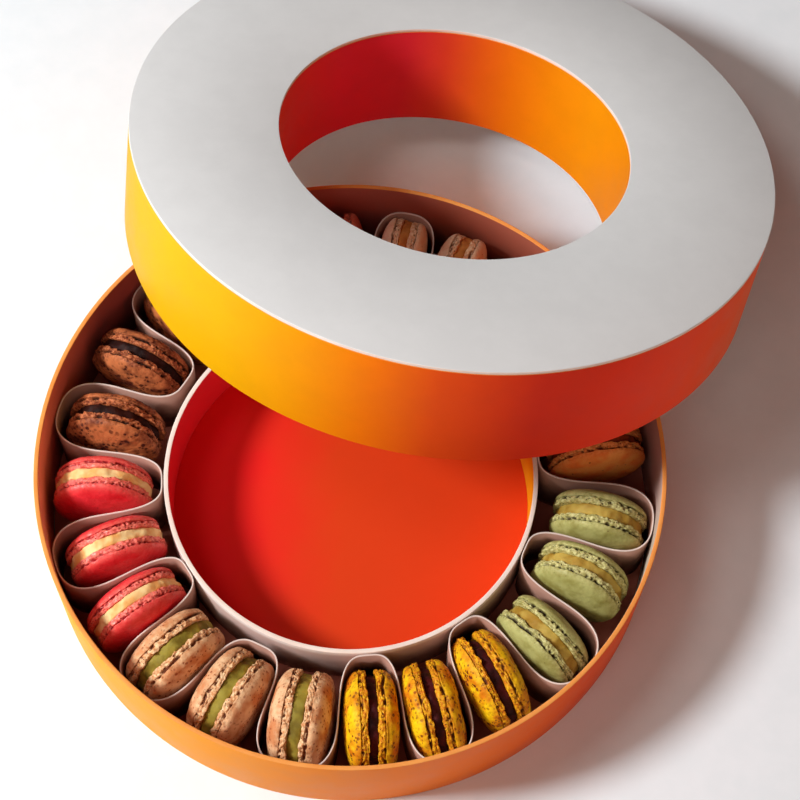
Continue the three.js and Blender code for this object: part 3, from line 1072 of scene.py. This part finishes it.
def layer_crack(spot, share):
    """How far a crack is open at a spot. Cracks run round, as the crumb tears along its layers."""
    layered = noise.noise(Vector((spot.x * 0.26, spot.y * 0.26, spot.z * 0.9)))
    broken = step_up(noise.noise(spot * 0.2 + BROKEN_OFFSET), -0.25, 0.2)
    return (1 - step_up(abs(layered), 0.02, 0.13)) * broken * step_up(share, 0.03, 0.25)


def lip_lift(flat_spot, share, bubble):
    """How far the foot's lower lip bends to or from the filling."""
    lip = noise.noise(flat_spot * 0.3) + 0.5 * noise.noise(flat_spot * 0.9)
    return 1.5 * bubble * max(lip, -0.4) * (1 - step_up(share, 0, 0.7))


print("a pit is deepest at shares from", PIT_BAND[1], "to", PIT_BAND[2])

# %% [markdown]
# ## The crust of a shell
# Cocoa and saffron shells are wild, rose and berry ones are even, and one function gives them all
# from a row of numbers. It pushes each point and writes two numbers beside it: how much it takes the
# foot's colour, which also reaches onto the dome along the seam as a painted highlight, and how much
# painted shade it gets in a pit, crack, pore or the seam's groove. The finish reads them, so no
# second pattern has to match the shape.

# %% A crust for a spun shell
FOOT_RUFFLES = 5
FOOT_RUFFLE_DEPTH = 0.3 * MM
SHELL_OUT_OF_ROUND = 0.2 * MM
SEAM_DEPTH = 0.3 * MM
SEAM_WANDER = 0.5 * MM
CRACK_DEPTH = 0.7
# how far the foot's paler colour reaches onto the dome as a painted highlight
PAINTED_HIGHLIGHT = 0.5
FOOT_REACH = 2.6 * MM
LIP_REACH = 1.5 * MM

# how square the dome is (2 is an ellipse), how far the filling is set back from the feet, height of
# swells on the dome, size of bubbles on the foot and depth of pits, all three and the set-back in
# millimetres, and how many pits there are on ten millimetres of the seam
CRUST = {
    "cocoa": (2.5, 2.0, 0.5, 0.8, 1.3, 3.6),
    "rose": (2.4, 0.6, 0.22, 0.62, 0.8, 8.0),
    "praline": (2.5, 1.6, 0.34, 0.85, 1.1, 4.6),
    "saffron": (2.6, 2.5, 0.6, 0.85, 1.0, 4.5),
    "pistachio": (2.4, 1.6, 0.18, 0.75, 1.3, 6.5),
    "apricot": (2.45, 1.5, 0.26, 0.6, 0.9, 7.0),
    "almond": (2.45, 0.8, 0.2, 0.5, 0.9, 7.0),
    "berry": (2.45, 1.2, 0.22, 0.5, 0.8, 7.0),
}


def push_out(vert, radius, outward):
    """Moves a point away from the axis."""
    stretch = 1 + outward / radius
    vert.co.x *= stretch
    vert.co.y *= stretch


def crust_a_shell(bm, size, half, crust, seed, phase, ruffle_phase):
    """Pushes the points of a spun shell, and writes where its foot and the painted highlight above
    it are, and how much painted shade lies in its pits, cracks, pores and groove.
    """
    swell, bubble, pit_depth = (value * MM for value in crust[:3])
    pit_pace = crust[3] / 10
    foot_and_highlight_layer = bm.verts.layers.float.new("foot")
    pit_shade_layer = bm.verts.layers.float.new("pit")
    seam = half + CRUMB_HEIGHT
    bm.normal_update()
    for vert in bm.verts:
        radius = math.hypot(vert.co.x, vert.co.y)
        if radius < size * 0.3 and vert.co.z < seam:
            continue
        around = math.atan2(vert.co.y, vert.co.x)
        spot = vert.co / MM + seed
        flat_spot = Vector((spot.x, spot.y, seed.z))
        share = (vert.co.z - half) / CRUMB_HEIGHT
        outward = SHELL_OUT_OF_ROUND * math.sin(2 * around + phase) * step_up(radius, 0, size)
        lift = 0.0
        # the line between foot and dome wanders up and down round the shell
        wander = SEAM_WANDER * noise.noise(flat_spot * 0.16)
        # a painted highlight: the foot's paler colour on the dome just above the seam
        painted_highlight = PAINTED_HIGHLIGHT * (1 - step_up(share, 1.0, 2.6))
        if radius > size - FOOT_REACH and share < 1.2:
            ragged = noise.noise(spot * 1.3)
            on_foot = 1 - step_up(share, 1.0, 1.16)
            pit, groove = torn_seam(spot, share, ragged, pit_pace)
            crack = layer_crack(spot, share) * on_foot
            relief, pore = foot_relief(spot, bubble)
            ruffle = FOOT_RUFFLE_DEPTH * math.sin(FOOT_RUFFLES * around + ruffle_phase)
            outward += on_foot * (relief + ruffle) - CRACK_DEPTH * crack * bubble
            outward -= pit * pit_depth + SEAM_DEPTH * groove
            vert[foot_and_highlight_layer] = max(1 - step_up(share + 0.25 * ragged, 0.85, 1.1), painted_highlight)
            # painted shade, a darker colour in pits, the groove, cracks and pores
            crevice_shade = (0.95 * pit, 0.35 * groove, 0.6 * crack, 0.35 * pore * on_foot)
            vert[pit_shade_layer] = max(crevice_shade)
            if radius > size - LIP_REACH or share > 0.02:
                lift = lip_lift(flat_spot, share, bubble)
            lift += wander * step_up(share, 0, 0.6)
        elif share > 0.5:
            # on the dome only the painted highlight takes the foot's colour
            vert[foot_and_highlight_layer] = painted_highlight
            lift = wander * (1 - step_up(share, 1.15, 1.9))
            swelling = noise.noise(spot * 0.09) + 0.5 * noise.noise(spot * 0.28)
            blister = noise.noise(spot * 0.75)
            vert.co += vert.normal * (swell * (swelling + 0.45 * blister - 0.5))
        if radius > 0:
            push_out(vert, radius, outward)
        vert.co.z += lift


print("crusts:", list(CRUST))

# %% [markdown]
# ## From shells to a macaron
# The two shells of a macaron never match, and between them lies a thick disc of filling, set back
# from the feet. A Mirror modifier would make the shells alike, so the second is spun with its own
# seed and then turned over by a negative scale. That turns its faces inside out, so they are
# reversed again.

# %% Two shells and a filling
FILLING_STEPS = 110
RIM_STEPS = 8
RIM_ROUND = 0.7 * MM
SECOND_SEED = 1.7


def spun_shell(outline, size, half, crust, seed, phases):
    """One shell with its underside at a height above the macaron's middle."""
    bm = turned(outline, SHELL_STEPS)
    crust_a_shell(bm, size, half, crust, seed, *phases)
    return bm


def both_shells(outline, size, half, crust, seed, phases):
    """Two shells with their feet towards each other, in one mesh."""
    first = spun_shell(outline, size, half, crust, seed, (phases[0], phases[2]))
    second = spun_shell(outline, size, half, crust, seed * SECOND_SEED, (phases[1], phases[3]))
    bmesh.ops.scale(second, vec=(1, 1, -1), verts=second.verts)
    bmesh.ops.reverse_faces(second, faces=second.faces)
    half_mesh = bpy.data.meshes.new("second_shell")
    second.to_mesh(half_mesh)
    second.free()
    first.from_mesh(half_mesh)
    bpy.data.meshes.remove(half_mesh)
    return first


def filling_outline(rim, half):
    """The outline of the filling disc, with a soft rim."""
    flat_rim = rim - RIM_ROUND
    outline = [(0, -half), (rim - RIM_WIDTH, -half), (flat_rim, -half)]
    for step in range(1, RIM_STEPS):
        angle = math.pi * (step / RIM_STEPS - 0.5)
        bulge = RIM_ROUND * math.cos(angle) ** 0.6
        outline.append((flat_rim + bulge, half * math.sin(angle)))
    return outline + [(flat_rim, half), (rim - RIM_WIDTH, half), (0, half)]


def spun_filling(rim, half, seed, phase):
    """The filling disc, uneven round its rim."""
    bm = turned(filling_outline(rim, half), FILLING_STEPS)
    for vert in bm.verts:
        radius = math.hypot(vert.co.x, vert.co.y)
        if radius > rim - LIP_REACH:
            around = math.atan2(vert.co.y, vert.co.x)
            spot = vert.co / MM + seed
            bulge = 0.4 * math.sin(3 * around + phase)
            bulge += 1.1 * noise.noise(spot * 0.24) + 0.5 * noise.noise(spot * 0.9)
            push_out(vert, radius, bulge * MM)
    return bm


print("steps round a shell:", SHELL_STEPS, "round a filling:", FILLING_STEPS)

# %% [markdown]
# ## Twenty-four macarons in their places
# Sweets of one flavour are alike but never the same. Linked copies would be, so each macaron
# draws its small differences of size and its seed from its own number, the same in every run. It
# is made lying flat, stood on edge by one matrix, and let down until it is just above the tray's
# bottom.

# %% Standing and dressing the macarons
MESH_CLEARANCE = 0.15 * MM
FIRST_SEED = 1000
SEED_STEP = 77
SEED_SPREAD = 500


def stand_up(place):
    """The turns of a macaron and its place in the ring, before it comes down to the floor."""
    turn, lean, out, along = STANCES[place]
    return (
        Matrix.Rotation(math.radians(FIRST_BEARING + PITCH * place + along), 4, "Z")
        @ Matrix.Translation((CHANNEL_MIDDLE + out * MM, 0, 0))
        @ Matrix.Rotation(math.radians(turn), 4, "Z")
        @ Matrix.Rotation(math.radians(-90 + lean), 4, "X")
    )


for place in range(MACARON_COUNT):
    flavour = flavour_of(place)
    girth, filling_share, dome_share = FLAVOURS[flavour]
    squareness, set_back, *crust = CRUST[flavour]
    draws = seeded_random(FIRST_SEED + SEED_STEP * place)
    size = MACARON_RADIUS * girth * (0.99 + 0.02 * next(draws))
    dome = SHELL_DOME * dome_share * (0.97 + 0.04 * next(draws)) - MESH_CLEARANCE
    half = FILLING_THICKNESS * filling_share / 2
    phases = [next(draws) * math.tau for count in range(4)]
    seed = Vector((next(draws), next(draws), next(draws))) * SEED_SPREAD

    outline = shell_outline(size, half, dome, squareness)
    shells = both_shells(outline, size, half, crust, seed, phases)
    filling = spun_filling(size - set_back * MM, half, seed, phases[2])
    standing = stand_up(place)
    lowest = min((standing @ vert.co).z for vert in shells.verts)
    standing = Matrix.Translation((0, 0, FLOOR + MESH_CLEARANCE - lowest)) @ standing
    node = f"macaron_{place + 1:02d}_{flavour}"
    for bm, ending, finish in (
        (shells, "shells", shell_finishes[flavour]),
        (filling, "filling", filling_finishes[flavour]),
    ):
        bmesh.ops.transform(bm, matrix=standing, verts=bm.verts)
        dress(make_object(f"{node}_{ending}", bm, [finish]), node)

# %% [markdown]
# ## Floor
# The box stands on a plain pale table. Far from the box the table fades into the sky that the camera
# sees, so no horizon cuts through a low view. The fade is for camera rays alone and gives no light.
# The table isn't part of the object.

# %% The pale table
TABLE_REACH = 3
FADE_START = 0.5
FADE_END = 0.95

table_finish, tree, table_shader, place = new_finish("pale_table", 0.85, 0.2)
paper = placed_group(tree, fibre, place)
tint = mix_colours(tree, paper.outputs["Tone"], srgb(244, 247, 250), srgb(240, 244, 247))
tree.links.new(tint, table_shader.inputs["Base Color"])
from_box = tree.nodes.new("ShaderNodeVectorMath")
from_box.operation = "LENGTH"
tree.links.new(place, from_box.inputs[0])
far_away = ramp_between(tree, from_box.outputs["Value"], FADE_START, FADE_END)
seen = tree.nodes.new("ShaderNodeLightPath").outputs["Is Camera Ray"]
haze = tree.nodes.new("ShaderNodeEmission")
haze.inputs["Color"].default_value = SKY_SEEN
haze.inputs["Strength"].default_value = SKY_SEEN_STRENGTH
faded = tree.nodes.new("ShaderNodeMixShader")
tree.links.new(math_node(tree, "MULTIPLY", far_away, seen), faded.inputs[0])
tree.links.new(table_shader.outputs[0], faded.inputs[1])
tree.links.new(haze.outputs[0], faded.inputs[2])
tree.links.new(faded.outputs[0], tree.nodes["Material Output"].inputs["Surface"])

bm = bmesh.new()
bmesh.ops.create_grid(bm, x_segments=1, y_segments=1, size=TABLE_REACH)
table = make_object("table", bm, [table_finish])
print("table reaches", TABLE_REACH, "m each way")
